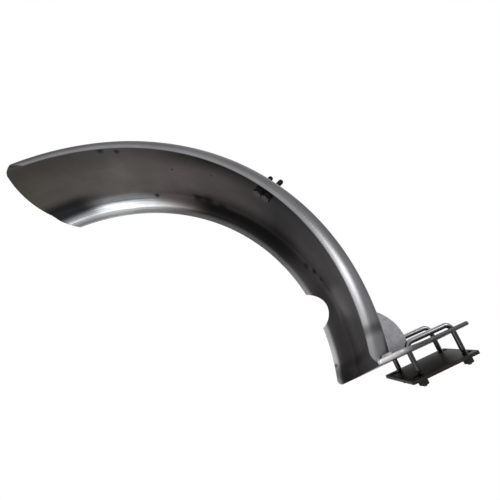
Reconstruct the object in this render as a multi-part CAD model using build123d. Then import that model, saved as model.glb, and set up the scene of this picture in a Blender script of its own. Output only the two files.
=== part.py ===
"""Motorcycle rear fender with a welded mounting plate and a loose U-bolt clamp, in millimetres.

X points forward to the clamp end, Z is up, Y runs across the wheel.
The shapes are drawn about the wheel axis and then moved so the clamp seat is the origin.
"""
import math
import os

from build123d import *

os.makedirs("parts", exist_ok=True)

# Shell: a revolved C-section in sheet steel, with angles in degrees from the front
crown_radius = 330.0
shell_width = 166.0
shoulder_radius = 28.0
wall_depth = 28.5
sheet = 2.0
rear_angle = 123.2
rear_skew = 1.3
rear_bow_radius = 170.0
rear_slope_crown = 122.4
rear_slope_edge = 115.7
front_corner = 6.0
notch_radius = 30.0
notch_angle = 22.3
notch_drop = 42.5

# Mounting plate: welded round the slanted front end of the shell
plate_tilt = 22.4
plate_thick = 4.5
plate_height = 14.3
plate_hug = 5.0
plate_horn = 23.0
plate_shoulder = 8.0
plate_neck = 52.0
plate_tongue_half = 46.0
plate_reach = 114.0
plate_corner = 8.0
plate_neck_round = 30.0
plate_shoulder_round = 20.0
plate_horn_round = 2.2
plate_edge_break = 1.2

# Gusset: one round web on the centre line, with fillet welds
gusset_thick = 4.0
gusset_radius = 48.0
gusset_back = 2.0
gusset_rise = 25.5
weld_leg = 3.0
weld_end = 5.0
weld_bite = 0.4

# Clamp: two U-bolts and a slotted plate, hanging loose with a lean
clamp_reach = 70.1
clamp_lean = 14.5
clamp_drop = 20.9
rod = 6.35
leg_spacing = 62.5
hoop_spacing = 46.8
hoop_bend = 8.0
near_hoop_top = 16.6
far_hoop_top = 14.3
thread_past_nut = 2.1
seat_slot_length = 15.0
seat_slot_clearance = 1.25
clamp_plate_thick = 4.0
clamp_plate_length = 91.4
clamp_plate_width = 68.0
clamp_plate_corner = 2.0
clamp_plate_shift = 2.6
clamp_plate_end = 2.6
clamp_slot_inset = 0.55
clamp_slot_clearance = 0.85

# Clamp fasteners
washer_outer = 13.0
washer_thick = 1.4
washer_clearance = 0.55
nut_flats = 11.1
nut_thick = 5.6

# Crown studs: M8 bolts, with the free thread drawn at its pitch diameter
stud_size = 8.0
stud_thread = 7.2
stud_clearance = 0.6
stud_across = -26.0
stud_angles = (53.9, 51.3)
stud_lengths = (30.0, 34.0)
stud_flats = 13.0
stud_head_thick = 5.3
stud_nut_thick = 6.5
stud_washer_outer = 14.0
stud_washer_thick = 1.6
stud_bite = 0.3

# Spare reach of the shapes that only cut
cut_margin = 15.0
spare_angle = 13.0

# Sizes that follow from those above
edge_radius = crown_radius - wall_depth
form_foot = edge_radius - 3 * cut_margin
plate_root_half = shell_width / 2 + plate_hug
leg_length = near_hoop_top + clamp_drop + clamp_plate_thick + washer_thick + nut_thick + thread_past_nut
leg_places = [(i * leg_spacing / 2, j * hoop_spacing / 2) for j in (-1, 1) for i in (-1, 1)]

# Frames: the mounting plate's own frame and the leaning clamp's frame
tilt = math.radians(plate_tilt)
lean = math.radians(clamp_lean)
plate_frame = Plane(
    origin=(crown_radius, 0, plate_height),
    x_dir=(math.cos(tilt), 0, math.sin(tilt)),
    z_dir=(-math.sin(tilt), 0, math.cos(tilt)),
)
seat_point = plate_frame.from_local_coords((clamp_reach, 0, 0))
clamp_frame = Plane(
    origin=seat_point,
    x_dir=plate_frame.x_dir,
    z_dir=plate_frame.z_dir * math.cos(lean) - plate_frame.y_dir * math.sin(lean),
)


def polar(radius, angle):
    """A point of the side view, from a radius and an angle."""
    return (radius * math.cos(math.radians(angle)), radius * math.sin(math.radians(angle)))


def crown_plane(angle, across):
    """A plane on the crown: x across the wheel, y along the arch, z outward."""
    x, z = polar(crown_radius, angle)
    out_x, out_z = polar(1, angle)
    return Plane(origin=(x, across, z), x_dir=(0, 1, 0), z_dir=(out_x, 0, out_z))


def filled_section(inset):
    """The area inside the C-section, drawn as across and radius."""
    half = shell_width / 2 - inset
    top = crown_radius - inset
    bend = shoulder_radius - inset
    corner = bend * math.sin(math.radians(45))
    with BuildSketch() as drawn:
        with BuildLine():
            Polyline((half, top - bend), (half, form_foot), (-half, form_foot), (-half, top - bend))
            ThreePointArc(
                (-half, top - bend),
                (-half + bend - corner, top - bend + corner),
                (-half + bend, top),
            )
            Line((-half + bend, top), (half - bend, top))
            ThreePointArc(
                (half - bend, top),
                (half - bend + corner, top - bend + corner),
                (half, top - bend),
            )
        make_face()
    return drawn.sketch


def turned(section, first, last):
    """Revolve a section about the wheel axis, between two angles."""
    a = math.radians(first)
    start = Plane(origin=(0, 0, 0), x_dir=(0, 1, 0), z_dir=(math.sin(a), 0, -math.cos(a)))
    return revolve(start * section, axis=Axis((0, 0, 0), (0, -1, 0)), revolution_arc=last - first)


def hexagon(flats, low, high):
    """A hexagon bar along Z."""
    bar = extrude(RegularPolygon(radius=flats / 2, side_count=6, major_radius=False), high - low)
    return Pos(0, 0, low) * bar


def disc(diameter, low, high):
    """A round bar along Z."""
    return Pos(0, 0, low) * extrude(Circle(diameter / 2), high - low)


def front_cut_at(radius):
    """Where the slanted front end crosses a radius, in the side view."""
    b = crown_radius * math.cos(tilt) + plate_height * math.sin(tilt)
    c = crown_radius**2 + plate_height**2 - radius**2
    along = -b + math.sqrt(b * b - c)
    return (crown_radius + along * math.cos(tilt), plate_height + along * math.sin(tilt))


# Shell blank: the outer form less the inner form
outer_form = turned(filled_section(0), -spare_angle, rear_angle + spare_angle)
inner_form = turned(filled_section(sheet), -spare_angle - 1, rear_angle + spare_angle + 1)
shell = outer_form - inner_form

# Trim in the side view: wall edge, slanted front end and its rounded corner
trim_radius = crown_radius + cut_margin
rear_limit = rear_angle + spare_angle / 2
front_edge = front_cut_at(edge_radius)
with BuildSketch(Plane.XZ) as trim:
    with BuildLine():
        Line(front_edge, front_cut_at(trim_radius))
        ThreePointArc(
            front_cut_at(trim_radius),
            polar(trim_radius, rear_limit / 2),
            polar(trim_radius, rear_limit),
        )
        Line(polar(trim_radius, rear_limit), polar(edge_radius, rear_limit))
        ThreePointArc(polar(edge_radius, rear_limit), polar(edge_radius, rear_limit / 2), front_edge)
    make_face()
    fillet(trim.vertices().sort_by_distance((front_edge[0], 0, front_edge[1]))[0], front_corner)
shell = shell & extrude(trim.sketch, shell_width, both=True)

# Rear end: a bow across the crown, sawn at a slight skew
bow_length = shell_width
bow = Pos(0, bow_length / 4, 0) * Box(shell_width + cut_margin, bow_length, 2 * shoulder_radius)
bow = bow - Pos(0, -rear_bow_radius, 0) * Cylinder(rear_bow_radius, 3 * shoulder_radius)
rear_frame = crown_plane(rear_angle, 0).location
skewed = rear_frame * Rot(0, 0, -rear_skew)
shell = shell - skewed * bow

# Rear corners: shoulders and walls cut on a slope
slope_top = Vector(*polar(crown_radius, rear_slope_crown))
slope_foot = Vector(*polar(edge_radius, rear_slope_edge))
slope_spare = (slope_top - slope_foot) * 0.6
slope = [
    slope_top + slope_spare,
    slope_foot - slope_spare,
    Vector(*polar(form_foot, rear_angle + spare_angle)),
    Vector(*polar(crown_radius + 2 * cut_margin, rear_angle + spare_angle)),
]
slope_cut = extrude(Plane.XZ * make_face(Polyline(*slope, close=True)), shoulder_radius + cut_margin)
flat_half = shell_width / 2 - shoulder_radius
for place in (-flat_half, shell_width / 2 + cut_margin):
    shell = shell - skewed * rear_frame.inverse() * Pos(0, place, 0) * slope_cut

# Notch in the far wall
notch_x, notch_z = polar(crown_radius - notch_drop, notch_angle)
notch = Pos(notch_x, shell_width / 2, notch_z) * Rot(90, 0, 0) * Cylinder(notch_radius, shell_width / 2)
shell = shell - notch

# Stud holes through the crown
stud_frames = [crown_plane(angle, stud_across) for angle in stud_angles]
stud_hole = stud_size + stud_clearance
for frame in stud_frames:
    shell = shell - frame * disc(stud_hole, -cut_margin, cut_margin)

# Mounting plate: a flared tongue cut to hug the shell
half_outline = [
    (-plate_horn, plate_root_half),
    (plate_shoulder, plate_root_half),
    (plate_neck, plate_tongue_half),
    (plate_reach, plate_tongue_half),
]
plate_rounds = [plate_horn_round, plate_shoulder_round, plate_neck_round, plate_corner]
outline = half_outline + [(x, -y) for x, y in reversed(half_outline)]
with BuildSketch() as plan:
    with BuildLine():
        Polyline(*outline, close=True)
    make_face()
    for (x, y), size in zip(half_outline, plate_rounds):
        for side in (1, -1):
            fillet(plan.vertices().sort_by_distance((x, side * y, 0))[0], size)
plate = extrude(plan.sketch, plate_thick)
rims = plate.faces().sort_by(Axis.Z)[0].edges() + plate.faces().sort_by(Axis.Z)[-1].edges()
plate = chamfer(rims, plate_edge_break)

# Four slots in the plate, placed so that the leaning legs touch their outer sides
seat_slot_width = rod + seat_slot_clearance
for x, y in leg_places:
    slot_x = clamp_reach + x - math.copysign(seat_slot_clearance / 2, x)
    slot_y = y / math.cos(lean) - plate_thick / 2 * math.tan(lean)
    slot = extrude(Rot(0, 0, 90) * SlotOverall(seat_slot_length, seat_slot_width), 3 * plate_thick)
    plate = plate - Pos(slot_x, slot_y, -plate_thick) * slot
plate = (plate_frame * plate) - outer_form

# Gusset rib between the crown and the mounting plate
gusset_x = crown_radius - gusset_back
gusset_z = plate_height + gusset_rise
gusset = Pos(gusset_x, 0, gusset_z) * Rot(90, 0, 0) * Cylinder(gusset_radius, gusset_thick)
below = plate_frame * (Pos(0, 0, plate_thick - crown_radius) * Box(*[2 * crown_radius] * 3))
gusset = gusset - outer_form - below

# Weld round the shell's end, with a sloping face
weld_length = plate_horn + plate_neck - weld_end
weld_slab = Box(weld_length, shell_width + 6 * weld_leg, weld_leg)
weld_slab = Pos(plate_neck - weld_length / 2, 0, plate_thick + weld_leg / 2) * weld_slab
root_bead = turned(filled_section(-weld_leg), -spare_angle, 2 * spare_angle) & (plate_frame * weld_slab)
root_bead = root_bead - outer_form
bead_top = root_bead.faces().sort_by(Axis(seat_point, plate_frame.z_dir))[-1]
bead_rim = [
    edge
    for edge in bead_top.edges()
    if edge.length > 2 * weld_leg and outer_form.distance_to(edge.center()) > weld_leg / 2
]
root_bead = chamfer(bead_rim, weld_leg * 0.8)

# Welds along both sides of the gusset, on the plate and on the crown
web = plate_frame.to_local_coords(Vector(gusset_x, 0, gusset_z))
web_end = web.X + math.sqrt(gusset_radius**2 - (web.Z - plate_thick) ** 2)
web_top = math.degrees(math.asin((gusset_z + gusset_radius) / crown_radius))
web_foot = math.degrees(math.asin(plate_height / crown_radius))
end_angle = math.degrees(weld_end / crown_radius)
bead_section = [(0, 0), (weld_leg, 0), (0, weld_leg)]
beads = root_bead - gusset
for side in (-1, 1):
    base = [(side * (gusset_thick / 2 + a), plate_thick + b) for a, b in bead_section]
    base_face = Plane.YZ * make_face(Polyline(*base, close=True))
    base_bead = Pos(-weld_leg, 0, 0) * extrude(base_face, web_end - weld_end + weld_leg)
    rise = [(side * (gusset_thick / 2 + a), crown_radius + b - weld_bite) for a, b in bead_section]
    rise_bead = turned(make_face(Polyline(*rise, close=True)), web_foot, web_top - end_angle)
    beads = beads + ((plate_frame * base_bead + rise_bead) - outer_form - below - gusset)


def u_bolt(across, top):
    """A rod bent to a square hoop, standing in the leaning clamp frame."""
    foot = top - leg_length
    points = [
        (-leg_spacing / 2, across, foot),
        (-leg_spacing / 2, across, top),
        (leg_spacing / 2, across, top),
        (leg_spacing / 2, across, foot),
    ]
    path = FilletPolyline(*points, radius=hoop_bend)
    profile = Pos(points[0]) * Circle(rod / 2)
    return clamp_frame * sweep(profile, path=path)


near_u_bolt = u_bolt(-hoop_spacing / 2, near_hoop_top)
far_u_bolt = u_bolt(hoop_spacing / 2, far_hoop_top)

# Clamp plate: a flat bar with a slot for each leg, which runs out towards the plate's end
bar = extrude(RectangleRounded(clamp_plate_length, clamp_plate_width, clamp_plate_corner), clamp_plate_thick)
clamp_slot_width = rod + clamp_slot_clearance
slot_start = leg_spacing / 2 - clamp_slot_inset - clamp_slot_width / 2
bar = Pos(-clamp_plate_shift, 0, 0) * bar
for x, y in leg_places:
    slot_stop = clamp_plate_length / 2 - clamp_plate_end - math.copysign(clamp_plate_shift, x)
    slot = extrude(SlotOverall(slot_stop - slot_start, clamp_slot_width), 3 * clamp_plate_thick)
    bar = bar - Pos(math.copysign((slot_start + slot_stop) / 2, x), y, -clamp_plate_thick) * slot
clamp_plate = clamp_frame * (Pos(0, 0, -clamp_drop - clamp_plate_thick) * bar)

# Washers and nuts below the clamp plate
washer_top = -clamp_drop - clamp_plate_thick
nut_top = washer_top - washer_thick
nut_foot = nut_top - nut_thick
washer_bore = disc(rod + washer_clearance, nut_foot, washer_top + 1)
washer = disc(washer_outer, nut_top, washer_top) - washer_bore
nut = hexagon(nut_flats, nut_foot, nut_top) - disc(rod, nut_foot - 1, nut_top + 1)
clamp_washers = [clamp_frame * (Pos(x, y, 0) * washer) for x, y in leg_places]
clamp_nuts = [clamp_frame * (Pos(x, y, 0) * nut) for x, y in leg_places]

# Crown studs: bolts from the inside, each held by a nut bedded on the crown
crown_studs = []
crown_washers = []
crown_nuts = []
head_seat = -sheet - stud_washer_thick
for frame, length in zip(stud_frames, stud_lengths):
    head = hexagon(stud_flats, head_seat - stud_head_thick, head_seat)
    shank = disc(stud_size, head_seat, stud_nut_thick) + disc(stud_thread, stud_nut_thick, length)
    crown_studs.append(frame * (head + shank))
    ring = disc(stud_washer_outer, head_seat, stud_bite - sheet) - disc(stud_hole, head_seat - 1, 1)
    crown_washers.append(frame * ring - shell)
    nut = hexagon(stud_flats, -stud_bite, stud_nut_thick) - disc(stud_size, -1, stud_nut_thick + 1)
    crown_nuts.append(frame * nut - shell)

# Write every node with the clamp seat at the origin
nodes = {
    "fender_shell": [shell],
    "mounting_plate": [plate],
    "gusset_rib": [gusset],
    "weld_beads": [beads],
    "near_u_bolt": [near_u_bolt],
    "far_u_bolt": [far_u_bolt],
    "clamp_plate": [clamp_plate],
    "clamp_washers": clamp_washers,
    "clamp_nuts": clamp_nuts,
    "crown_studs": crown_studs,
    "crown_washers": crown_washers,
    "crown_nuts": crown_nuts,
}
to_seat = Pos(-seat_point.X, -seat_point.Y, -seat_point.Z)
for name, shapes in nodes.items():
    solids = [solid for shape in shapes for solid in (to_seat * shape).solids()]
    whole = solids[0] if len(solids) == 1 else Compound(children=solids)
    export_step(whole, f"parts/{name}.step")
    box = whole.bounding_box()
    print(name, len(solids), [round(v, 1) for v in (*box.min, *box.max)], round(whole.volume))
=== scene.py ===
# %% [markdown]
# # A raw steel motorcycle rear fender
# The real fender is a rolled sheet-steel arch with a plate welded to its front end and a loose U-bolt
# clamp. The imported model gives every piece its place, so this lesson starts by loading it, and then
# dresses it: finer meshes for what shows, and finishes worked out from the real metals.

# %% Load the frame
import math

import bpy
from mathutils import Matrix, Vector


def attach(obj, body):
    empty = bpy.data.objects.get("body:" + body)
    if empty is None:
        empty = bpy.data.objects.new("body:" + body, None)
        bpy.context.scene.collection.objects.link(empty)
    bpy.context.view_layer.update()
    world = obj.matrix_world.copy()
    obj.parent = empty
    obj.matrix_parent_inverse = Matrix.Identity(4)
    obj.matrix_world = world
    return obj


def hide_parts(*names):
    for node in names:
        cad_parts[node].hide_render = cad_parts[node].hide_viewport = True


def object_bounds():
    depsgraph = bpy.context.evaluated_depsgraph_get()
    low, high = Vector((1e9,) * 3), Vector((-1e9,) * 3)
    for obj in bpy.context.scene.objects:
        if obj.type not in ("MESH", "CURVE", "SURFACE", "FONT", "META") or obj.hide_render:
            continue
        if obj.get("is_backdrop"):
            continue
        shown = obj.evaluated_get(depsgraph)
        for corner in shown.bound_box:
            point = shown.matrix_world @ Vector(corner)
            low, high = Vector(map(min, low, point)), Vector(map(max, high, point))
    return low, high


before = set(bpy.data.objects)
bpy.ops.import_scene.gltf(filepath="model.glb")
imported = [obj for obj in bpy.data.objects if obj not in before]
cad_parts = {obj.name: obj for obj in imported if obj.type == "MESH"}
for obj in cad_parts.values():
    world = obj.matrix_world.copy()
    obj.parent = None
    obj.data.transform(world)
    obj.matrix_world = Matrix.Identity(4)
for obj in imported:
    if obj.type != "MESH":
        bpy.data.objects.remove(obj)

MM = 0.001
cad_low, cad_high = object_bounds()
print("solids:", sorted(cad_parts))

# %% [markdown]
# ## The sizes that the looks share with the solids
# The clamp seat is the origin of the frame. The wheel axis, about which the sheet was rolled, lies behind
# and below it. Both follow from the few sizes that drove the solids, so they are written once, here.

# %% Shared sizes
crown_radius = 330.0 * MM
shell_width = 166.0 * MM
shoulder_radius = 28.0 * MM
wall_depth = 28.5 * MM
sheet = 2.0 * MM
springing = crown_radius - shoulder_radius
edge_radius = crown_radius - wall_depth
half_width = shell_width / 2
flat_half = half_width - shoulder_radius
plate_tilt = math.radians(22.4)
plate_height = 14.3 * MM
plate_thick = 4.5 * MM
clamp_reach = 70.1 * MM
along_plate = Vector((math.cos(plate_tilt), 0, math.sin(plate_tilt)))
off_plate = Vector((-math.sin(plate_tilt), 0, math.cos(plate_tilt)))
plate_root = -clamp_reach * along_plate
plate_top = plate_root + plate_thick * off_plate
wheel_axis = plate_root - Vector((crown_radius, 0, plate_height))


def on_arch(radius, degrees, across=0.0):
    """A point of the frame from a radius and an angle about the wheel axis, and a place across it."""
    a = math.radians(degrees)
    return wheel_axis + Vector((radius * math.cos(a), across, radius * math.sin(a)))


print("wheel axis at", [round(v / MM, 1) for v in wheel_axis], "mm")

# %% [markdown]
# ## Camera
# The photograph was taken from close by with a wide lens, below the arch and to one side of it, so the
# near edge looks much larger than the far one. The lens and the place are what make the two outlines of
# the arch fall where they do. A longer lens from further off could frame it too, but would flatten it.

# %% Camera
photo_pixels = 500
focal_pixels = 342.67
film_width = 36.0
camera_place = Vector((-206.80, -439.62, -92.55)) * MM
camera_pitch = math.radians(117.705)
camera_turn = math.radians(1.223)
bpy.ops.object.select_all(action="DESELECT")
bpy.ops.object.camera_add(location=camera_place, rotation=(camera_pitch, 0, camera_turn))
camera = bpy.context.object
camera.data.sensor_width = film_width
camera.data.lens = film_width * focal_pixels / photo_pixels
camera.data.clip_start = 10 * MM
bpy.context.scene.camera = camera
bpy.context.scene.view_settings.view_transform = "Standard"
print("lens", round(camera.data.lens, 2), "mm")

# %% [markdown]
# ## Studio
# Bare steel has hardly a colour of its own: it shows what is round it. So the studio is planned for what
# each bend of the sheet mirrors towards the camera. The flat of the crown mirrors the white surroundings,
# the far shoulder mirrors a softbox low in front, and the near shoulder mirrors one high on the right.
# The fender hangs well above a white floor, which glows a little, so that it looks white from every side.
# A panorama could light the metal too, but its lights couldn't be moved one by one.

# %% Colours, nodes and finishes
def linear(hex_colour):
    """An sRGB hex colour as linear red, green, blue and alpha."""
    parts = [int(hex_colour[i:i + 2], 16) / 255 for i in (1, 3, 5)]
    return [c / 12.92 if c <= 0.04045 else ((c + 0.055) / 1.055) ** 2.4 for c in parts] + [1.0]


def add_node(tree, kind, inputs=None, **settings):
    """Add one shader node of a kind with its settings, and set or link its inputs."""
    made = tree.nodes.new("ShaderNode" + kind)
    for name, value in settings.items():
        setattr(made, name, value)
    for name, value in (inputs or {}).items():
        if isinstance(value, bpy.types.NodeSocket):
            tree.links.new(value, made.inputs[name])
        else:
            made.inputs[name].default_value = value
    return made


def new_finish(name, colour, roughness, metallic=1.0):
    """A material with one colour, its tree and its shader."""
    finish = bpy.data.materials.new(name)
    finish.use_nodes = True
    shader = finish.node_tree.nodes["Principled BSDF"]
    shader.inputs["Base Color"].default_value = linear(colour)
    shader.inputs["Metallic"].default_value = metallic
    shader.inputs["Roughness"].default_value = roughness
    return finish, finish.node_tree, shader


print("middle grey in linear light:", round(linear("#808080")[0], 3))

# %% Floor
floor_place = Vector((-0.2, 0, -1.3))
floor_radius = 3.25
white_to_camera = 0.6
white_to_metal = 0.26
bpy.ops.object.select_all(action="DESELECT")
bpy.ops.mesh.primitive_circle_add(vertices=96, radius=floor_radius, fill_type="NGON", location=floor_place)
floor = bpy.context.object
floor.name = "studio_floor"
floor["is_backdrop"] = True
# Matt wall paint: white without a gloss, so it mirrors no lamp
floor_paint, tree, shader = new_finish("matt_white_paint", "#f2f2f0", 0.9, metallic=0.0)
floor.data.materials.append(floor_paint)
shader.inputs["Emission Color"].default_value = linear("#ffffff")
ray = add_node(tree, "LightPath").outputs
both = {0: ray["Is Glossy Ray"], 1: ray["Is Transmission Ray"]}
mirrored = add_node(tree, "Math", both, operation="MAXIMUM").outputs[0]
to_metal = add_node(tree, "Math", {0: mirrored, 1: white_to_metal}, operation="MULTIPLY").outputs[0]
to_both = {0: ray["Is Camera Ray"], 1: white_to_camera, 2: to_metal}
glow = add_node(tree, "Math", to_both, operation="MULTIPLY_ADD")
tree.links.new(glow.outputs[0], shader.inputs["Emission Strength"])
print("floor", round(-floor_place.z, 2), "m below the clamp")

# %% Surroundings
fill_level = 0.4
world = bpy.data.worlds.new("white_studio")
bpy.context.scene.world = world
world.use_nodes = True
tree = world.node_tree
ray = add_node(tree, "LightPath").outputs
seen = ray["Is Camera Ray"]
for kind in ("Is Glossy Ray", "Is Transmission Ray"):
    seen = add_node(tree, "Math", {0: seen, 1: ray[kind]}, operation="MAXIMUM").outputs[0]
level = add_node(tree, "Math", {0: seen, 1: 1.0 - fill_level, 2: fill_level}, operation="MULTIPLY_ADD")
background = tree.nodes["Background"]
background.inputs["Color"].default_value = linear("#ffffff")
tree.links.new(level.outputs[0], background.inputs["Strength"])
print("shadows are filled at", fill_level)

# %% Softboxes
# For each softbox, its place and its width and height in metres, and its power in watts
softboxes = {
    "low_front_softbox": ((-0.63, -0.81, -0.57), (0.22, 1.29), 6.4),
    "right_front_softbox": ((0.78, -1.16, 0.89), (0.6, 0.55), 8.0),
    "overhead_softbox": ((-0.20, 0.60, 1.60), (1.2, 1.2), 4.0),
}
aim_angle = 70
aim = on_arch(crown_radius, aim_angle)
for name, (place, size, power) in softboxes.items():
    bpy.ops.object.light_add(type="AREA", location=place)
    lamp = bpy.context.object
    lamp.name = name
    lamp.data.shape = "RECTANGLE"
    lamp.data.size, lamp.data.size_y = size
    lamp.data.energy = power
    lamp.visible_camera = False
    lamp.rotation_euler = (aim - Vector(place)).to_track_quat("-Z", "Y").to_euler()
print("softboxes:", list(softboxes))

# %% [markdown]
# ## How the pieces are made
# Every piece starts as one of Blender's primitives, is shaped in edit mode with extrude, spin and bevel,
# and is trimmed by Booleans, as by hand. A few small helpers keep that short. More follow where they are
# first needed.

# %% Helpers for edit mode
same_place = 0.001 * MM


def start(name, primitive, **sizes):
    """Deselect everything, add a primitive, write its place into its mesh and name it."""
    bpy.ops.object.select_all(action="DESELECT")
    primitive(**sizes)
    bpy.ops.object.transform_apply()
    piece = bpy.context.object
    piece.name = name
    piece.data.name = name
    return piece


def take_all():
    """In edit mode, select everything."""
    bpy.ops.mesh.select_all(action="SELECT")


def edit():
    """Enter edit mode with everything selected."""
    bpy.ops.object.mode_set(mode="EDIT")
    bpy.ops.mesh.select_mode(type="VERT")
    take_all()


def leave_edit():
    """Turn the faces outward and go back to object mode."""
    take_all()
    bpy.ops.mesh.normals_make_consistent(inside=False)
    bpy.ops.object.mode_set(mode="OBJECT")


def pull(x=0.0, y=0.0, z=0.0):
    """Extrude what is selected by a step."""
    bpy.ops.mesh.extrude_region_move(TRANSFORM_OT_translate={"value": (x, y, z)})


def turn_about(centre, axis, degrees, steps):
    """Spin what is selected. Blender's own spin goes round the other way, so the angle changes sign."""
    bpy.ops.mesh.spin(steps=steps, angle=math.radians(-degrees), center=centre, axis=axis)


def draw_on(points):
    """Draw on from the first of some points, where the last vertex is, to the others."""
    for here, there in zip(points, points[1:]):
        pull(*(Vector(there) - Vector(here)))


def chain(name, points):
    """A line through points, drawn by extruding one vertex from point to point. It stays in edit mode."""
    piece = start(name, bpy.ops.mesh.primitive_plane_add, size=MM)
    edit()
    bpy.ops.mesh.merge(type="CENTER")
    bpy.ops.transform.translate(value=points[0])
    draw_on(points)
    return piece


def merge_doubles():
    """In edit mode, merge the points that lie in the same place, and leave everything selected."""
    take_all()
    bpy.ops.mesh.remove_doubles(threshold=same_place)


print("points closer than", round(same_place / MM, 4), "mm are merged")


# %% Helpers for placing
def only(piece):
    """Make a piece the one that operators act on."""
    bpy.ops.object.select_all(action="DESELECT")
    piece.select_set(True)
    bpy.context.view_layer.objects.active = piece


def put(piece, matrix):
    """Move a piece to its place and write the place into its mesh."""
    only(piece)
    piece.matrix_world = matrix
    bpy.ops.object.transform_apply()
    return piece


def modify(piece, kind, **settings):
    """Add a modifier and apply it."""
    only(piece)
    modifier = piece.modifiers.new(kind, kind)
    for name, value in settings.items():
        setattr(modifier, name, value)
    bpy.ops.object.modifier_apply(modifier=modifier.name)


print("helpers:", [helper.__name__ for helper in (only, put, modify)])

# %% [markdown]
# ## Raw sheet steel
# The shell is hot-rolled sheet that was rolled to shape and left bare. Inside it keeps its dark grey oxide
# skin, and its tones along the arch are partly that skin and partly painted reflection and shade, palest
# just behind the top and darkest halfway up the front. Outside the skin is scoured to brighter steel. The
# far shoulder and wall carry painted highlights and painted shade for what they mirror, the near half
# inside is painted darker, and the lower edge of the near wall has a painted highlight outside. Faint
# streaks run the way it was rolled. These tones are laid on the flat sheet, so each vertex is given its
# place on the
# flat blank: x along the arch, y across the section, and z is 1 outside. A picture could carry them too,
# but would blur close by.

# %% Raw sheet steel, tones along the arch
def arc_of(degrees):
    """Where an angle of the arch lies on the flat blank."""
    return crown_radius * math.radians(degrees)


raw_sheet, tree, shader = new_finish("hot_rolled_sheet_steel", "#4a4846", 0.3)
shader.inputs["Specular Tint"].default_value = linear("#b4b4b4")
shader.inputs["Specular IOR Level"].default_value = 0.2
blank = add_node(tree, "Attribute", attribute_name="blank").outputs["Vector"]
on_blank = add_node(tree, "SeparateXYZ", {0: blank}).outputs
# Tones inside at angles of the arch, in degrees from the front: partly the oxide skin, partly painted
# reflection and shade
inside_tones = {3: "#2f2d2e", 16: "#3b393a", 26: "#434041", 36: "#363435", 48: "#282627", 64: "#4a4545",
                80: "#5f5857", 96: "#686562", 112: "#5a5653", 123: "#57524d"}
outside_tones = {3: "#69686a", 20: "#706f71", 40: "#6a6a6c", 70: "#6c6c6e", 95: "#6f6f71", 122: "#5e5e60"}


def tones_along(tones):
    """A colour ramp along the arch, from tones at angles in degrees."""
    last = max(tones)
    share = add_node(tree, "Math", {0: on_blank["X"], 1: arc_of(last)}, operation="DIVIDE")
    tone_ramp = add_node(tree, "ValToRGB", {"Fac": share.outputs[0]})
    stops = tone_ramp.color_ramp.elements
    while len(stops) < len(tones):
        stops.new(0.5)
    for stop, degrees in zip(stops, sorted(tones)):
        stop.position = degrees / last
        stop.color = linear(tones[degrees])
    return tone_ramp.outputs["Color"]


sheet_tone = tones_along(inside_tones)
outside_tone = tones_along(outside_tones)
print("tones along the arch:", len(inside_tones), "inside and", len(outside_tones), "outside")

# %% Raw sheet steel, the brighter far half
# What is known at a point of the sheet, and the unit in which its soft steps are written
surface = {"along": (on_blank["X"], arc_of(1)), "across": (on_blank["Y"], MM)}


def soft_steps(steps, share=1.0):
    """A share times soft steps, each from a first to a last number while a value goes from low to high."""
    for name, low, high, first, last in steps:
        value, unit = surface[name]
        inputs = {"Value": value, "From Min": low * unit, "From Max": high * unit,
                  "To Min": first, "To Max": last}
        step = add_node(tree, "MapRange", inputs, interpolation_type="SMOOTHSTEP").outputs[0]
        share = add_node(tree, "Math", {0: share, 1: step}, operation="MULTIPLY").outputs[0]
    return share


def layer(under, over, steps, share=1.0):
    """Lay one tone over another, by a share times soft steps."""
    inputs = {0: soft_steps(steps, share), 6: under, 7: over}
    return add_node(tree, "Mix", inputs, data_type="RGBA").outputs[2]


# Stretches of the far half are brightened: partly the oxide skin, partly painted reflection
far_half = ("across", 0, 50, 0, 1)
bright_stretches = [
    [far_half, ("along", 16, 22, 1, 0)],
    [far_half, ("along", 26, 31, 0, 1), ("along", 36, 44, 1, 0)],
    [far_half, ("along", 52, 68, 0.9, 0)],
]
far_gain = 1.0
for steps in bright_stretches:
    far_gain = add_node(tree, "Math", {0: far_gain, 1: soft_steps(steps)}, operation="ADD").outputs[0]
brighter = add_node(tree, "VectorMath", {0: sheet_tone, "Scale": far_gain}, operation="SCALE")
sheet_tone = brighter.outputs[0]
print("bright stretches of the far half:", len(bright_stretches))

# %% Raw sheet steel, painted highlights and painted shade
# The painted highlight's inner edge is slanted: towards the front it starts up to 20 mm further out
highlight_shift = soft_steps([("along", 80, 97, 20 * MM, 0)])
highlight_line = add_node(tree, "Math", {0: on_blank["Y"], 1: highlight_shift}, operation="SUBTRACT")
surface["off_highlight_line"] = (highlight_line.outputs[0], MM)
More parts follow.
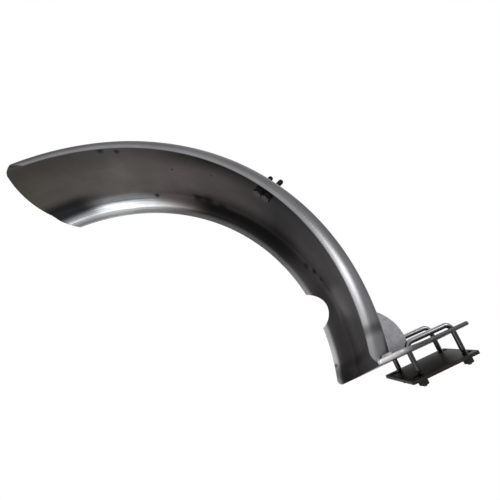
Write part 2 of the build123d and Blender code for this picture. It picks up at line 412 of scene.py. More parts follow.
# Each layer of painted highlight and painted shade has a colour and soft steps, in degrees along the arch
# and in mm across the section
tone_layers = {
    # Painted shade: a dark band along the far shoulder, where it mirrors dark surroundings
    "painted_shoulder_shade": ("#070708", [("across", 51, 70, 0, 1), ("across", 86, 95, 1, 0),
                                  ("along", 26, 54, 0.7, 0.95), ("along", 70, 84, 1, 0)]),
    # Painted highlight: the rear of the far shoulder made brighter where it mirrors the low softbox
    "painted_far_highlight": ("#8e9093", [("off_highlight_line", 47, 66, 0, 1), ("along", 74, 100, 0, 1)]),
    # Painted shade: dims the far shoulder's highlight towards the rear
    "painted_shade_rear_deep": ("#16171a", [("across", 25, 50, 0, 1), ("across", 71, 84, 1, 0),
                              ("along", 104, 113, 0, 0.9)]),
    # Painted shade: a softer dimming of the same highlight, further down the shoulder
    "painted_shade_rear_soft": ("#1a1b1e", [("across", 58, 70, 0, 1), ("across", 84, 90, 1, 0),
                               ("along", 105, 111, 0, 0.55)]),
    # Painted highlight: the far wall is lighter towards its edge
    "painted_highlight_far_wall": ("#8c8d90", [("across", 89, 97, 0, 0.9)]),
    # Painted highlight: the far wall is brighter below the rear highlight
    "painted_highlight_rear_wall": ("#d0d1d3", [("across", 80, 93, 0, 0.9), ("along", 75, 99, 0, 1),
                              ("along", 105, 112, 1, 0.6)]),
    # Painted highlight: the far wall's lit edge near the front
    "painted_highlight_front_wall": ("#e4e4e4", [("across", 90, 97, 0, 1), ("along", 14, 46, 0.9, 0)]),
    # Painted shade: the near half inside is darker, most by the near wall and towards the front
    "painted_shade_near_side": ("#0a0a0b", [("across", -52, -6, 0.97, 0), ("along", 66, 92, 1, 0.35)]),
}
for colour, steps in tone_layers.values():
    sheet_tone = layer(sheet_tone, linear(colour), steps)
print("layers of tone inside:", list(tone_layers))

# %% Raw sheet steel, outside, its painted edge highlight, and bareness
# Painted highlight along the lower edge of the near wall, outside
outside_tone = layer(outside_tone, linear("#8e8e90"), [("across", -97, -91, 0.7, 0)])
sheet_tone = layer(sheet_tone, outside_tone, [], on_blank["Z"])
# In the painted highlight the steel is also made fully metallic, as outside
painted_far_highlight = soft_steps(tone_layers["painted_far_highlight"][1])
wall_roughness = soft_steps([("across", 84, 94, 0.3, 0.6)])
tree.links.new(wall_roughness, shader.inputs["Roughness"])
bare = add_node(tree, "Math", {0: on_blank["Z"], 1: painted_far_highlight}, operation="MAXIMUM")
surface["bare"] = (bare.outputs[0], 1)
oxide_metallic = 0.6
bareness = soft_steps([("bare", 0, 1, oxide_metallic, 1)])
tree.links.new(bareness, shader.inputs["Metallic"])
print("oxide skin inside is", oxide_metallic, "metallic")

# %% Raw sheet steel, streaks and patches
# Real rolling lines are finer, so these are drawn as coarse as they need to show
streak_width = 1.6 * MM
streak_length = 160.0 * MM
patch_size = 45.0 * MM
other_side = 7.0
noise_low = 0.3
noise_high = 0.7
streak_scale = (1 / streak_length, 1 / streak_width, other_side)
stretched = add_node(tree, "Mapping", {"Vector": blank, "Scale": streak_scale})
streaks = add_node(tree, "TexNoise", {"Vector": stretched.outputs[0], "Scale": 1.0, "Detail": 3.0})
places = add_node(tree, "TexCoord").outputs["Object"]
patch_inputs = {"Vector": places, "Scale": 1 / patch_size, "Detail": 5.0, "Roughness": 0.6}
patches = add_node(tree, "TexNoise", patch_inputs)
surface["streaks"] = (streaks.outputs["Fac"], 1.0)
surface["patches"] = (patches.outputs["Fac"], 1.0)
faint = soft_steps([("streaks", noise_low, noise_high, 0.95, 1.05)])
# Streaks are drawn stronger within the painted highlight
highlight_streaks = soft_steps([("streaks", noise_low, noise_high, -0.3, 0.3)], painted_far_highlight)
streaky = add_node(tree, "Math", {0: faint, 1: highlight_streaks}, operation="ADD")
gain = soft_steps([("patches", noise_low, noise_high, 0.9, 1.1)], streaky.outputs[0])
sheet_tone = add_node(tree, "VectorMath", {0: sheet_tone, "Scale": gain}, operation="SCALE").outputs[0]
print("streaks", streak_width / MM, "mm wide and patches of", patch_size / MM, "mm")

# %% Raw sheet steel, heat of the welding
heat_inside = 20 * MM
heat_outside = 34 * MM
dot = add_node(tree, "VectorMath", {0: places, 1: off_plate}, operation="DOT_PRODUCT")
off_front = dot.outputs["Value"]
heat_line = add_node(tree, "Mix", {0: on_blank["Z"], 2: heat_inside, 3: heat_outside}).outputs[0]
past_heat = add_node(tree, "Math", {0: off_front, 1: heat_line}, operation="SUBTRACT")
off_heat = add_node(tree, "Math", {0: past_heat.outputs[0]}, operation="ABSOLUTE")
surface["off_heat"] = (off_heat.outputs[0], MM)
sheet_tone = layer(sheet_tone, linear("#1c191b"), [("off_heat", 1, 9, 0.55, 0.0)])
print("heat band", round(heat_inside / MM), "mm from the front end inside")

# %% Raw sheet steel, marks
# For each mark, its colour, its angle along the arch, its place across the section and its size in mm
marks = [
    ("#121112", 88.5, 63, 5),
    ("#101011", 75, 57, 9),
    ("#101011", 71.5, 59, 11),
    ("#101011", 67, 66, 12),
    ("#17161a", 31.5, 61, 6),
    ("#17161a", 28.5, 56, 4.5),
    ("#17161a", 34.5, 67, 7),
    ("#1a1817", 94.5, -49, 5),
    ("#1a1817", 98.5, -54, 6.5),
    ("#1a1817", 80.8, -9.6, 2.6),
    ("#1a1817", 69, -14.4, 2),
    ("#5a3527", 5.9, 97.5, 3.5),
    ("#191817", 3, 90, 12),
]
mark_strength = 0.85
full_to = 0.2
gone_at = 1.6
for colour, degrees, across, size in marks:
    middle = (arc_of(degrees), across * MM, 0.0)
    away = add_node(tree, "VectorMath", {0: blank, 1: middle}, operation="DISTANCE")
    ragged = soft_steps([("patches", noise_low, noise_high, 0.7, 1.4)], away.outputs["Value"])
    surface["off_mark"] = (ragged, size * MM)
    sheet_tone = layer(sheet_tone, linear(colour), [("off_mark", full_to, gone_at, mark_strength, 0.0)])
tree.links.new(sheet_tone, shader.inputs["Base Color"])
print("marks on the sheet:", len(marks))

# %% Raw sheet steel, waves left by the rolls
wave_height = 0.5 * MM
wave_size = 60.0 * MM
noise = add_node(tree, "TexNoise", {"Vector": places, "Scale": 1 / wave_size, "Detail": 1.0})
wave_inputs = {"Height": noise.outputs["Fac"], "Strength": 0.5, "Distance": wave_height}
waves = add_node(tree, "Bump", wave_inputs)
tree.links.new(waves.outputs["Normal"], shader.inputs["Normal"])
print("waves of", wave_height / MM, "mm on the sheet")

# %% [markdown]
# ## Plate, weld, zinc and black oxide
# The mounting plate and the rib are mild steel plate, ground to a satin grey. The weld metal keeps a sheen
# from the heat. The U-bolts are bright zinc plate over rod, and the clamp plate and the fasteners are
# chemically blackened, which leaves a dark, faintly brown, waxy skin. Each gets a fine grain, because at
# this distance more would only look dirty. The mounting plate has a painted highlight at its root end, and
# the U-bolts' legs have painted shade below the plate: two tones that go over into each other.

# %% Other finishes
def grade(tree, shader, value, span, tones):
    """Let the first of two tones go over into the second while a value crosses a span."""
    low, high = span
    first, second = tones
    inputs = {"Value": value, "From Min": low, "From Max": high}
    share = add_node(tree, "MapRange", inputs, interpolation_type="SMOOTHSTEP").outputs[0]
    tone = add_node(tree, "Mix", {0: share, 6: linear(first), 7: linear(second)}, data_type="RGBA")
    tree.links.new(tone.outputs[2], shader.inputs["Base Color"])


def grained(name, plain, tones, size, roughness, metallic=1.0):
    """A finish that a grain breaks up between two tones, as coarse as it needs to show."""
    finish, tree, shader = new_finish(name, plain, roughness, metallic)
    places = add_node(tree, "TexCoord").outputs["Object"]
    noise = add_node(tree, "TexNoise", {"Vector": places, "Scale": 1 / size, "Detail": 4.0})
    grade(tree, shader, noise.outputs["Fac"], (0.35, 0.65), tones)
    return finish


def painted_light_along(name, plain, tones, way, span, roughness):
    """A finish with painted light and shade that goes over from one tone to another along a direction."""
    finish, tree, shader = new_finish(name, plain, roughness)
    places = add_node(tree, "TexCoord").outputs["Object"]
    reach = add_node(tree, "VectorMath", {0: places, 1: way}, operation="DOT_PRODUCT")
    grade(tree, shader, reach.outputs["Value"], span, tones)
    return finish


# Ground plate: a satin grey that blurs what it mirrors
satin_rib = grained("ground_mild_steel_rib", "#7c7b7e", ("#727174", "#7d7c7f"), 6.0 * MM, 0.42)
# The same, with a painted highlight: bright at the root end and dull towards the clamp
satin_plate = painted_light_along("ground_mild_steel_plate", "#7c7b7e", ("#c6c5c7", "#434244"), along_plate,
                         (-92 * MM, -42 * MM), 0.42)
# Weld metal: a warmer, brighter grey, with a glint on each ripple
as_welded = grained("as_welded_steel", "#6e6a66", ("#858383", "#9a9692"), 8.0 * MM, 0.36)
# Zinc plate: bright hoops, with painted shade on the legs below the plate
zinc_plate = painted_light_along("bright_zinc_plated_rod", "#605f61", ("#3a3839", "#7e7d7f"), off_plate,
                        (-2 * MM, 9 * MM), 0.24)
# Black oxide: a dark skin with a weak, broad sheen, browner on the clamp plate
black_plate = grained("black_oxide_plate", "#1a1412", ("#171210", "#251c19"), 14.0 * MM, 0.5, 0.6)
black_oxide = grained("black_oxide_fastener", "#151414", ("#100f0f", "#1b1918"), 3.0 * MM, 0.45, 0.6)
# Phosphate: a greyer, chalky skin that hardly shines
phosphated = grained("phosphated_bolt", "#312f2e", ("#2c2a29", "#373434"), 3.0 * MM, 0.55, 0.4)
print("finishes:", [finish.name for finish in bpy.data.materials])

# %% [markdown]
# ## Fender skin
# The real shell was rolled from one sheet: a flat crown, two round shoulders and short walls. Here its
# section is drawn by extruding and spinning a vertex, the section is spun about the wheel axis, and the
# sheet is given its 2 mm thickness inward. Bending a flat grid with modifiers would also give an arch, but
# the spin keeps the radius exact, and bare metal shows every dent.

# %% Arch
shoulder_steps = 14
crown_steps = 13
arch_steps = 150
rear_angle = 123.03
front_spare = 13.0
rear_spare = 6.5
form_depth = 45.0 * MM
form_foot = edge_radius - form_depth
arch_place = Matrix.Translation(wheel_axis) @ Matrix.Rotation(math.radians(front_spare), 4, "Y")


def section_line(name, foot):
    """The outer line of the section, from one wall's foot to the other's, drawn about its own axis."""
    piece = chain(name, [(foot, -half_width, 0), (springing, -half_width, 0)])
    turn_about((springing, -flat_half, 0), (0, 0, 1), 90, shoulder_steps)
    for _ in range(crown_steps):
        pull(y=2 * flat_half / crown_steps)
    turn_about((springing, flat_half, 0), (0, 0, 1), 90, shoulder_steps)
    pull(x=foot - springing)
    return piece


def spin_section():
    """Spin the section about the wheel axis."""
    merge_doubles()
    turn_about((0, 0, 0), (0, -1, 0), front_spare + (rear_angle + rear_spare), arch_steps)


fender_skin = section_line("fender_skin", edge_radius)
spin_section()
leave_edit()
put(fender_skin, arch_place)
modify(fender_skin, "SOLIDIFY", thickness=sheet, offset=-1.0, use_even_offset=True)
edit()
bpy.ops.mesh.bisect(plane_co=plate_root, plane_no=off_plate, clear_inner=True, use_fill=True)
leave_edit()
print("arch of", len(fender_skin.data.polygons), "faces")

# %% [markdown]
# ## The rear end
# The rear end was sawn in a bow across the crown, at a slight skew. Its corners were cut back on a slope,
# and the near tip was blunted. Closed forms do the same here: one with the bow's arc, a prism for each
# corner and a wedge for the tip. Moving the end's vertices could do it too, but would leave a ragged edge.

# %% Helpers for cutting
def crown_frame(degrees, across=0.0):
    """A frame on the crown: x across the wheel, y along the arch and z outward."""
    a = math.radians(degrees)
    axes = Matrix(((0, 1, 0), (-math.sin(a), 0, math.cos(a)), (math.cos(a), 0, math.sin(a))))
    return Matrix.Translation(on_arch(crown_radius, degrees, across)) @ axes.transposed().to_4x4()


def fill_outline():
    """Fill the outline that was drawn with one face."""
    merge_doubles()
    bpy.ops.mesh.edge_face_add()


def fill_slab(step):
    """Fill the outline that was drawn and extrude it into a slab."""
    fill_outline()
    pull(*step)
    leave_edit()


def join(pieces):
    """Join pieces into the first of them."""
    only(pieces[0])
    for piece in pieces:
        piece.select_set(True)
    if len(pieces) > 1:
        bpy.ops.object.join()
    return pieces[0]


def trim(piece, cutters, operation="DIFFERENCE"):
    """Cut a piece with closed forms that don't touch each other, and throw the forms away."""
    cutter = join(cutters)
    modify(piece, "BOOLEAN", object=cutter, operation=operation, solver="EXACT")
    bpy.data.meshes.remove(cutter.data)


rear_frame = crown_frame(rear_angle)
print("rear end at", [round(v / MM, 1) for v in rear_frame.translation], "mm")

# %% Rear bow
rear_bow_radius = 223.0 * MM
bow_skew = math.radians(3.04)
bow_spare = 7.5 * MM
bow_half = half_width + bow_spare
bow_reach = 120.0 * MM
bow_steps = 48
bow_turn = math.asin(bow_half / rear_bow_radius)
bow_drop = rear_bow_radius * (1 - math.cos(bow_turn))

bow = chain("rear_bow", [(bow_half, bow_reach, -shoulder_radius), (bow_half, -bow_drop, -shoulder_radius)])
turn_about((0, -rear_bow_radius, -shoulder_radius), (0, 0, 1), 2 * math.degrees(bow_turn), bow_steps)
pull(y=bow_reach + bow_drop)
fill_slab((0, 0, 2 * shoulder_radius))
bow_place = rear_frame @ Matrix.Rotation(-bow_skew, 4, "Z")
trim(fender_skin, [put(bow, bow_place)])
print("bow sawn,", len(fender_skin.data.polygons), "faces")

# %% Near rear tip
# The tip's edge leaves the bow and goes on in straight steps, each with a width and a slant
tip_start = 53.0 * MM
tip_steps = [(6.0 * MM, 0.57), (31.5 * MM, 0.91)]
tip_spare = 4.0 * MM
x = -tip_start
y = math.sqrt(rear_bow_radius ** 2 - tip_start ** 2) - rear_bow_radius
tip_line = [(x + tip_spare, bow_reach), (x + tip_spare, y + tip_spare * tip_steps[0][1])]
for width, slant in tip_steps:
    x -= width
    y -= width * slant
    tip_line.append((x, y))
tip_line.append((x, bow_reach))
tip = chain("near_tip", [(x, y, -shoulder_radius) for x, y in tip_line])
fill_slab((0, 0, 2 * shoulder_radius))
trim(fender_skin, [put(tip, bow_place)])
print("near tip blunted,", len(fender_skin.data.polygons), "faces")

# %% Rear slopes
# For each side, where the slope starts off the centre line, and its angles at the crown and the wall's edge
slope_skew = math.radians(1.3)
rear_slopes = {-1: (62.0 * MM, 121.85, 115.7), 1: (flat_half, 121.7, 115.85)}
slope_end = rear_angle + 13.0
slope_over = 30.0 * MM
slope_past_wall = 15.0 * MM
slope_longer = 0.6
slope_place = rear_frame @ Matrix.Rotation(-slope_skew, 4, "Z") @ rear_frame.inverted()
slopes = []
for side, (slope_start, slope_crown, slope_edge) in rear_slopes.items():
    slope_top = on_arch(crown_radius, slope_crown)
    slope_foot = on_arch(edge_radius, slope_edge)
    slope_spare = (slope_top - slope_foot) * slope_longer
    slope_line = [slope_top + slope_spare, slope_foot - slope_spare, on_arch(form_foot, slope_end),
                  on_arch(crown_radius + slope_over, slope_end)]
    inner = Vector((0, side * slope_start, 0))
    slope = chain("rear_slope", [point + inner for point in slope_line])
    fill_slab((0, side * (half_width + slope_past_wall - slope_start), 0))
    slopes.append(put(slope, slope_place))
trim(fender_skin, slopes)
print("rear end cut,", len(fender_skin.data.polygons), "faces")

# %% [markdown]
# ## Notch, front corners and bolt holes
# The far wall has a round notch, which clears the chain or a bracket. The front corners of both walls were
# rounded with a file, and two holes were drilled for the crown bolts. The corner's cutter is a wedge with
# a hollow arc, which runs smoothly into both edges. A bevel would be quicker, but less true.

# %% Notch and front corners
notch_radius = 31.0 * MM
notch_drop = 40.8 * MM
notch_angle = 22.15
front_corners = {-1: 11.0 * MM, 1: 6.0 * MM}
corner_steps = 12
below_edge = 0.97
notch_place = on_arch(crown_radius - notch_drop, notch_angle, half_width)
notch = start("notch", bpy.ops.mesh.primitive_cylinder_add, vertices=96, radius=notch_radius,
              depth=half_width, location=notch_place, rotation=(math.pi / 2, 0, 0))


def reach_radius(point, radius):
    """The point at a radius from the wheel axis, on a line along the plate through a point."""
    from_axis = point - wheel_axis
    b = from_axis.dot(along_plate)
    return point + (math.sqrt(b * b - from_axis.length_squared + radius * radius) - b) * along_plate


def corner_form(side, radius):
    """A wedge with a hollow arc, which rounds the front corner of one wall."""
    inner = Vector((0, side * flat_half, 0))
    centre = reach_radius(plate_root + radius * off_plate, edge_radius + radius) + inner
    on_front = centre - radius * off_plate
    axis_here = wheel_axis + inner
    on_edge = axis_here + (centre - axis_here) * (edge_radius / (edge_radius + radius))
    inside_edge = axis_here + (on_edge - axis_here) * below_edge
    turn = math.degrees((on_front - centre).angle(on_edge - centre))
    form = chain("front_corner", [on_front - radius * off_plate, on_front])
    turn_about(centre, (0, 1, 0), turn, corner_steps)
    draw_on([on_edge, inside_edge, inside_edge - 3 * radius * off_plate])
    fill_slab((0, side * half_width, 0))
    return form


corners = [corner_form(side, radius) for side, radius in front_corners.items()]
print("cutters for one notch and", len(corners), "corners")

# %% Helpers for finishing
sharp_angle = math.radians(35)


def copies(piece, matrices):
    """Copies of a piece, each with its own mesh in its own place. The pattern itself is thrown away."""
    made = []
    for matrix in matrices:
        copy = piece.copy()
        copy.data = piece.data.copy()
        bpy.context.scene.collection.objects.link(copy)
        made.append(put(copy, matrix))
    bpy.data.meshes.remove(piece.data)
    return made


def smooth(piece):
    """Shade a piece smooth, but for its sharp edges."""
    only(piece)
    bpy.ops.object.shade_smooth_by_angle(angle=sharp_angle)
    modify(piece, "WEIGHTED_NORMAL", keep_sharp=True)


def ease_edges(piece, width, segments=2):
    """Round the hard edges of a piece and shade the rest smooth."""
    only(piece)
    edit()
    bpy.ops.mesh.remove_doubles(threshold=width / 4)
    leave_edit()
    modify(piece, "BEVEL", width=width, segments=segments, limit_method="ANGLE",
           angle_limit=sharp_angle, use_clamp_overlap=False)
    smooth(piece)


def fit(piece, node, finish):
    """Let a piece stand for its solid, with its own finish."""
    piece.name = node + "_look"
    piece.data.name = piece.name
    piece.data.materials.clear()
    piece.data.materials.append(finish)
    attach(piece, "root")
    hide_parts(node)
    triangles = sum(len(face.vertices) - 2 for face in piece.data.polygons)
    print(piece.name, "has", triangles, "triangles")


print("edges sharper than", round(math.degrees(sharp_angle)), "degrees stay sharp")

# %% Bolt holes, filed edges and finish
stud_size = 8.0 * MM
stud_clearance = 0.6 * MM
stud_across = -26.0 * MM
stud_angles = (53.9, 51.3)
drill_length = 30.0 * MM
filed_edge = 0.4 * MM
hole_radius = (stud_size + stud_clearance) / 2
stud_frames = [crown_frame(degrees, stud_across) for degrees in stud_angles]
hole = start("bolt_hole", bpy.ops.mesh.primitive_cylinder_add, vertices=32, radius=hole_radius,
             depth=drill_length)
trim(fender_skin, [notch] + corners + copies(hole, stud_frames))
ease_edges(fender_skin, filed_edge)


def lay_flat(piece):
    """Give each vertex of the shell its place on the flat blank."""
    place_on_blank = piece.data.attributes.new("blank", "FLOAT_VECTOR", "POINT")
    for vertex, value in zip(piece.data.vertices, place_on_blank.data):
        x, y, z = vertex.co - wheel_axis
        past = max(0.0, abs(y) - flat_half)
        rise = max(0.0, math.hypot(x, z) - springing)
        section = min(abs(y), flat_half) + shoulder_radius * math.atan2(past, rise)
        outside = math.hypot(past, rise) > shoulder_radius - sheet / 2
        value.vector = (crown_radius * math.atan2(z, x), math.copysign(section, y), float(outside))


lay_flat(fender_skin)
fit(fender_skin, "fender_shell", raw_sheet)

# %% [markdown]
# ## Mounting plate
# A flat plate was cut with a flared root, narrowed to a tongue, slotted for the clamp's legs and cut out to
# fit round the end of the shell. Its outline is drawn with straight lines, the corners are rounded with a
# vertex bevel, and the shell's own outer form cuts it, so the fit is the same as on the real part.

# %% Mounting plate outline
near_place = 0.01 * MM
plate_edge = 1.5 * MM
plate_hug = half_width + 5.0 * MM
tongue_half = 46.0 * MM
plate_frame = Matrix.Translation(plate_root)
plate_frame @= Matrix((along_plate, (0, 1, 0), off_plate)).transposed().to_4x4()
# For each corner, its place along the plate and off the centre line, and how far its bevel reaches
plate_corners = [
    (-23.0 * MM, plate_hug, 2.2 * MM),
    (8.0 * MM, plate_hug, 8.0 * MM),
    (52.0 * MM, tongue_half, 12.0 * MM),
    (114.0 * MM, tongue_half, 8.0 * MM),
]


def pick(test):
    """In edit mode, select only the vertices whose place passes a test."""
    bpy.ops.mesh.select_all(action="DESELECT")
    bpy.ops.object.mode_set(mode="OBJECT")
    for vertex in bpy.context.object.data.vertices:
        vertex.select = bool(test(vertex.co))
    bpy.ops.object.mode_set(mode="EDIT")


plate_line = [(x, y, 0) for x, y, _ in plate_corners]
plate = chain("mounting_plate", plate_line + [(x, -y, 0) for x, y, _ in reversed(plate_line)])
fill_outline()
for x, y, corner_cut in plate_corners:
    pick(lambda v: abs(v.x - x) < near_place and abs(abs(v.y) - y) < near_place)
    bpy.ops.mesh.bevel(affect="VERTICES", offset=corner_cut, segments=8)
take_all()
pull(z=plate_thick)
leave_edit()
ease_edges(plate, plate_edge, segments=4)
print("plate of", len(plate.data.polygons), "faces")

# %% Mounting plate slots and fit
rod = 6.35 * MM
leg_spacing = 62.5 * MM
hoop_spacing = 46.8 * MM
clamp_lean = math.radians(14.5)
slot_length = 15.0 * MM
slot_clearance = 1.25 * MM
slot_steps = 16
leg_places = [(i * leg_spacing / 2, j * hoop_spacing / 2) for j in (-1, 1) for i in (-1, 1)]


def slot_form(name, length, width, height, along):
    """A cutter with round ends, along X or Y, standing on its middle."""
    half = (length - width) / 2
    form = chain(name, [(width / 2, -half, -height / 2), (width / 2, half, -height / 2)])
    turn_about((0, half, -height / 2), (0, 0, 1), 180, slot_steps)
    pull(y=-2 * half)
    turn_about((0, -half, -height / 2), (0, 0, 1), 180, slot_steps)
    fill_slab((0, 0, height))
    return put(form, Matrix.Rotation(math.pi / 2 if along == "X" else 0, 4, "Z"))


def close_form():
    """Merge doubles and close the open ends of a form."""
    merge_doubles()
    bpy.ops.mesh.fill_holes(sides=0)
    leave_edit()


def outer_form(name):
    """The arch filled down to well below its walls, to cut what is set against it."""
    piece = section_line(name, form_foot)
    pick(lambda v: v.x < form_foot + same_place)
    bpy.ops.mesh.edge_face_add()
    spin_section()
    close_form()
    return put(piece, arch_place)


slot = slot_form("plate_slot", slot_length, rod + slot_clearance, 4 * plate_thick, "Y")
slot_places = []
for x, y in leg_places:
    slot_y = y / math.cos(clamp_lean) - plate_thick / 2 * math.tan(clamp_lean)
    slot_x = clamp_reach + x - math.copysign(slot_clearance / 2, x)
    slot_places.append(Matrix.Translation((slot_x, slot_y, plate_thick / 2)))
trim(plate, copies(slot, slot_places))
put(plate, plate_frame)
trim(plate, [outer_form("plate_hug")])
smooth(plate)
fit(plate, "mounting_plate", satin_plate)

# %% [markdown]
# ## Gusset rib
# One round web stiffens the plate against the crown. It is a slice of a disc: the crown's form and the
# plate's top cut it to shape, so it fits both by itself. Its rim was left as sawn, with a thin broken edge.

# %% Gusset rib
gusset_radius = 48.0 * MM
gusset_thick = 4.0 * MM
gusset_edge = 0.5 * MM
gusset_back = 2.0 * MM
gusset_rise = 25.5 * MM
gusset_x = crown_radius - gusset_back
gusset_z = plate_height + gusset_rise
gusset = start("gusset_rib", bpy.ops.mesh.primitive_cylinder_add, vertices=128, radius=gusset_radius,
               depth=gusset_thick, location=wheel_axis + Vector((gusset_x, 0, gusset_z)),
               rotation=(math.pi / 2, 0, 0))
edit()
bpy.ops.mesh.bisect(plane_co=plate_top, plane_no=off_plate, clear_inner=True, use_fill=True)
leave_edit()
trim(gusset, [outer_form("gusset_seat")])
ease_edges(gusset, gusset_edge)
fit(gusset, "gusset_rib", satin_rib)

# %% [markdown]
# ## Welds
# A weld laid by hand is a row of overlapping ripples, one for each dab of the filler rod. One ripple is
# modelled as a flattened ball, tilted as it froze, and set along the seams. A smooth fillet would be
# simpler, but the ripples are what catch the light.

# %% Weld seams
ripple_step = 2.2 * MM
root_half = 87.0 * MM
seam_probe = 0.1 * MM


def along_root(s):
    """A point of the root seam, from the distance along the shell's section from its middle."""
    past = max(0.0, abs(s) - flat_half) / shoulder_radius
    radius = springing + shoulder_radius * math.cos(past)
    side = min(abs(s), flat_half) + shoulder_radius * math.sin(past)
    return reach_radius(plate_top, radius) + Vector((0, math.copysign(side, s), 0))


def seam_frames(seam, first, last, up):
    """A frame for each ripple of a seam: x along it, y into the corner's wall, z off its floor."""
    frames = []
    steps = round(abs(last - first) / ripple_step)
    for i in range(steps + 1):
        s = first + (last - first) * i / steps
        x = (seam(s + seam_probe) - seam(s - seam_probe)).normalized() * math.copysign(1, last - first)
        y = up.cross(x).normalized()
        axes = Matrix((x, y, x.cross(y))).transposed().to_4x4()
        frames.append(Matrix.Translation(seam(s)) @ axes)
    return frames


ripple_frames = seam_frames(along_root, -root_half, root_half, off_plate)
print("ripples round the root:", len(ripple_frames))

# %% Weld seams of the rib
base_seam = (2.0 * MM, 36.0 * MM)
rise_start = 4.0 * MM
rise_short = 5.0 * MM
rib_low = math.degrees(math.asin(plate_height / crown_radius))
rib_high = math.degrees(math.asin((gusset_z + gusset_radius) / crown_radius))
rise_seam = (rise_start, math.radians(rib_high - rib_low) * crown_radius - rise_short)
off_crown = (on_arch(crown_radius, (rib_low + rib_high) / 2) - wheel_axis).normalized()


def along_base(s):
    """A point on the plate's top, from the distance to its root."""
    return plate_top + s * along_plate


def along_rise(s):
    """A point on the crown, from the distance along it."""
    return on_arch(crown_radius, rib_low + math.degrees(s / crown_radius))


for side in (-1, 1):
    edge = Vector((0, side * gusset_thick / 2, 0))
    ripple_frames += seam_frames(lambda s: along_base(s) + edge, *base_seam[::-side], off_plate)
    ripple_frames += seam_frames(lambda s: along_rise(s) + edge, *rise_seam[::side], off_crown)
print("ripples:", len(ripple_frames))

# %% Weld ripples
weld_leg = 2.6 * MM
ripple_tilt = math.radians(25)
ripple_lift = 0.35 * weld_leg
ripple_shape = Matrix.Diagonal((0.55, 0.9, 0.9, 1.0))
ripple = start("ripple", bpy.ops.mesh.primitive_uv_sphere_add, segments=16, ring_count=10, radius=weld_leg)
out_of_corner = Matrix.Translation((0, -ripple_lift, ripple_lift))
put(ripple, out_of_corner @ Matrix.Rotation(ripple_tilt, 4, "Y") @ ripple_shape)
welds = join(copies(ripple, ripple_frames))
smooth(welds)
fit(welds, "weld_beads", as_welded)

# %% [markdown]
# ## U-bolts
# Each U-bolt is quarter-inch rod with two square bends and a rolled thread on its legs' ends. The rod is
# turned and spun round its bend, as the real one was bent round a pin, and mirrored. The thread is a tooth
# wound by a Screw modifier, because a bump map would vanish at the outline.

# %% Clamp sizes
hoop_tops = {"near_u_bolt": 16.6 * MM, "far_u_bolt": 14.3 * MM}
clamp_drop = 20.9 * MM
bar_thick = 4.0 * MM
washer_thick = 1.4 * MM
nut_thick = 5.6 * MM
thread_past_nut = 2.1 * MM
bar_low = -clamp_drop - bar_thick
washer_low = bar_low - washer_thick
nut_low = washer_low - nut_thick
leg_length = hoop_tops["near_u_bolt"] - nut_low + thread_past_nut
clamp_up = math.cos(clamp_lean) * off_plate - Vector((0, math.sin(clamp_lean), 0))
clamp_frame = Matrix((along_plate, clamp_up.cross(along_plate), clamp_up)).transposed().to_4x4()
print("legs of", round(leg_length / MM, 1), "mm")

# %% Threads
depth_per_pitch = 0.6
flank_per_pitch = 0.42
crest_per_pitch = 0.08
thread_steps = 24


def thread(diameter, pitch, length):
    """A screw thread standing on the origin, as a closed tooth wound round the Z axis."""
    crest = diameter / 2
    root = crest - depth_per_pitch * pitch
    up = flank_per_pitch * pitch
    over = up + crest_per_pitch * pitch
    tooth = chain("thread", [(root, 0, 0), (crest, 0, up), (crest, 0, over), (root, 0, over + up)])
    fill_outline()
    bpy.ops.mesh.delete(type="ONLY_FACE")
    bpy.ops.object.mode_set(mode="OBJECT")
    modify(tooth, "SCREW", angle=2 * math.pi, screw_offset=pitch, iterations=int(length / pitch),
           steps=thread_steps, render_steps=thread_steps)
    edit()
    close_form()
    return tooth


print("thread depth:", depth_per_pitch, "of the pitch")

# %% U-bolts
hoop_bend = 8.0 * MM
bend_steps = 10
rod_thread = 18.0 * MM
rod_pitch = 1.27 * MM
rod_core = rod / 2 - depth_per_pitch * rod_pitch
end_chamfer = 0.5 * MM
thread_run_out = 1.0 * MM
first_turn = 0.4 * MM


def u_bolt(name, across, top):
    """Rod bent to a square hoop: one half is turned, bent and mirrored, and gets its threads."""
    side = leg_spacing / 2
    foot = top - leg_length
    profile = [(rod_core - end_chamfer, foot), (rod_core, foot + end_chamfer),
               (rod_core, foot + rod_thread), (rod / 2, foot + rod_thread + thread_run_out),
               (rod / 2, top - hoop_bend)]
    piece = chain(name, [(r - side, across, z) for r, z in profile])
    take_all()
    turn_about((-side, across, 0), (0, 0, 1), 360, thread_steps)
    merge_doubles()
    pick(lambda v: v.z > top - hoop_bend - near_place)
    turn_about((hoop_bend - side, across, top - hoop_bend), (0, 1, 0), 90, bend_steps)
    pull(x=side - hoop_bend)
    leave_edit()
    modify(piece, "MIRROR", use_clip=True)
    edit()
    close_form()
    winding = thread(rod, rod_pitch, rod_thread)
    ends = copies(winding, [Matrix.Translation((i * side, across, foot + first_turn)) for i in (-1, 1)])
    piece = put(join([piece] + ends), clamp_frame)
    smooth(piece)
    return piece


for node, across in (("near_u_bolt", -hoop_spacing / 2), ("far_u_bolt", hoop_spacing / 2)):
    fit(u_bolt(node, across, hoop_tops[node]), node, zinc_plate)

# %% [markdown]
# ## Clamp plate
# A flat bar with a slot for each leg, so that it can be shifted on them. It was cut, drilled and blackened,
# and a file broke its edges. One slot form is made for each end of the bar, as the bar hangs off centre.

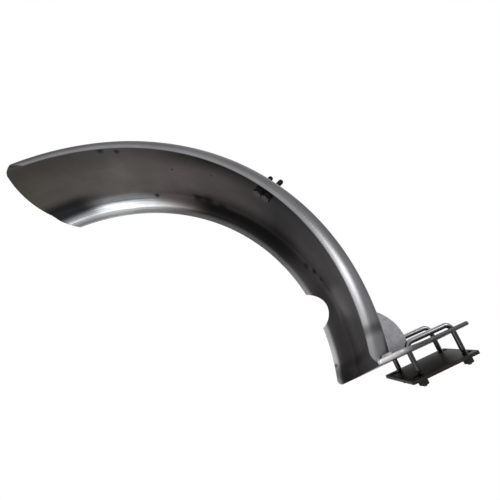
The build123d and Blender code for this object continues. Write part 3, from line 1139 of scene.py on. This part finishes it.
# %% Clamp plate
bar_length = 91.4 * MM
bar_width = 68.0 * MM
bar_shift = 2.6 * MM
bar_corner = 2.0 * MM
bar_end = 2.6 * MM
bar_edge = 0.5 * MM
bar_slot_clearance = 0.85 * MM
bar_slot_inset = 0.55 * MM
bar_slot_width = rod + bar_slot_clearance
slot_start = leg_spacing / 2 - bar_slot_inset - bar_slot_width / 2
low_x = -bar_shift - bar_length / 2
high_x = -bar_shift + bar_length / 2
half_y = bar_width / 2
bar_line = [(low_x, -half_y), (high_x, -half_y), (high_x, half_y), (low_x, half_y)]
bar = chain("clamp_plate", [(x, y, bar_low) for x, y in bar_line])
fill_outline()
bpy.ops.mesh.bevel(affect="VERTICES", offset=bar_corner, segments=6)
take_all()
pull(z=bar_thick)
leave_edit()
slots = []
for end, stop in ((-1, -low_x - bar_end), (1, high_x - bar_end)):
    slot = slot_form("clamp_slot", stop - slot_start, bar_slot_width, 4 * bar_thick, "X")
    middle = end * (slot_start + stop) / 2
    slots += copies(slot, [Matrix.Translation((middle, j * hoop_spacing / 2, bar_low)) for j in (-1, 1)])
trim(bar, slots)
ease_edges(bar, bar_edge)
put(bar, clamp_frame)
fit(bar, "clamp_plate", black_plate)

# %% [markdown]
# ## Washers, nuts and crown bolts
# Bought fasteners: a punched washer, and hexagon nuts and heads, whose corners a lathe has chamfered. Each
# kind is modelled once, at its real size, and copied. Under black oxide they show only as dark blocks with
# a thin light edge, so the chamfer matters more than the thread inside.

# %% Rings and hexagons
washer_edge = 0.2 * MM
hexagon_edge = 0.15 * MM
chamfer_angle = math.radians(30)
face_share = 0.97


def turned(name, profile, steps):
    """A closed form turned about the Z axis from points given as radius and height."""
    piece = chain(name, [(radius, 0, height) for radius, height in profile])
    take_all()
    turn_about((0, 0, 0), (0, 0, 1), 360, steps)
    close_form()
    return piece


def ring(name, outer, inner, low, high):
    """A flat ring between two heights, turned from its section."""
    piece = turned(name, [(inner, low), (outer, low), (outer, high), (inner, high), (inner, low)], steps=40)
    ease_edges(piece, washer_edge)
    return piece


def hexagon(name, flats, low, high, bore=0.0):
    """A hexagon with chamfered corners, between two heights, and bored if it is a nut."""
    corner = flats / math.sqrt(3)
    face = flats / 2 * face_share
    chamfer = (corner - face) * math.tan(chamfer_angle)
    middle = (0, 0, (low + high) / 2)
    piece = start(name, bpy.ops.mesh.primitive_cylinder_add, vertices=6, radius=corner, depth=high - low,
                  location=middle, rotation=(0, 0, math.pi / 6))
    lathe_line = [(0, low), (face, low), (corner, low + chamfer), (corner, high - chamfer), (face, high),
                  (0, high)]
    trim(piece, [turned("lathe_form", lathe_line, steps=48)], "INTERSECT")
    if bore:
        hole = start("bore", bpy.ops.mesh.primitive_cylinder_add, vertices=24, radius=bore / 2,
                     depth=2 * (high - low), location=middle)
        trim(piece, [hole])
    ease_edges(piece, hexagon_edge)
    return piece


print("chamfers of", round(math.degrees(chamfer_angle)), "degrees on the hexagons")

# %% Clamp washers and nuts
washer_outer = 6.5 * MM
washer_gap = 0.3 * MM
nut_flats = 11.1 * MM
at_legs = [clamp_frame @ Matrix.Translation((x, y, 0)) for x, y in leg_places]
washers = join(copies(ring("washer", washer_outer, rod / 2 + washer_gap, washer_low, bar_low), at_legs))
nuts = join(copies(hexagon("nut", nut_flats, nut_low, washer_low, rod), at_legs))
fit(washers, "clamp_washers", black_oxide)
fit(nuts, "clamp_nuts", black_oxide)

# %% Crown bolts
stud_lengths = (30.0 * MM, 34.0 * MM)
stud_flats = 13.0 * MM
stud_pitch = 1.25 * MM
stud_core = stud_size / 2 - depth_per_pitch * stud_pitch
tip_chamfer = 0.8 * MM
crown_washer_thick = 1.6 * MM
head_thick = 5.3 * MM
shank_sunk = 0.5 * MM
unthreaded = 1.5 * MM
head_seat = -sheet - crown_washer_thick
shank_low = head_seat - shank_sunk
studs = []
for stud_frame, length in zip(stud_frames, stud_lengths):
    head = hexagon("crown_stud", stud_flats, head_seat - head_thick, head_seat)
    shank_line = [(0, shank_low), (stud_core, shank_low), (stud_core, length - tip_chamfer),
                  (stud_core - tip_chamfer, length), (0, length)]
    shank = turned("shank", shank_line, steps=32)
    winding = thread(stud_size, stud_pitch, length - head_seat - unthreaded)
    put(winding, Matrix.Translation((0, 0, head_seat)))
    studs.append(put(join([head, shank, winding]), stud_frame))
studs = join(studs)
smooth(studs)
fit(studs, "crown_studs", phosphated)

# %% Crown washers and nuts
crown_washer_outer = 7.0 * MM
crown_nut_thick = 6.5 * MM
washer = ring("crown_washer", crown_washer_outer, hole_radius, head_seat, -sheet)
washers = join(copies(washer, stud_frames))
nuts = join(copies(hexagon("crown_nut", stud_flats, 0.0, crown_nut_thick, stud_size), stud_frames))
fit(washers, "crown_washers", phosphated)
fit(nuts, "crown_nuts", black_oxide)

# %% [markdown]
# ## The end of the lesson
# The boxes of the solids and of the dressed part are compared, and the largest difference is printed. They
# agree to within a millimetre, though a few edges of the shell were fitted closer to the photo than in its
# solid.

# %% Sizes
low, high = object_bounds()
apart = [abs(a - b) for a, b in zip([*low, *high], [*cad_low, *cad_high])]
print("the two boxes differ by up to", round(max(apart) / MM, 2), "mm")
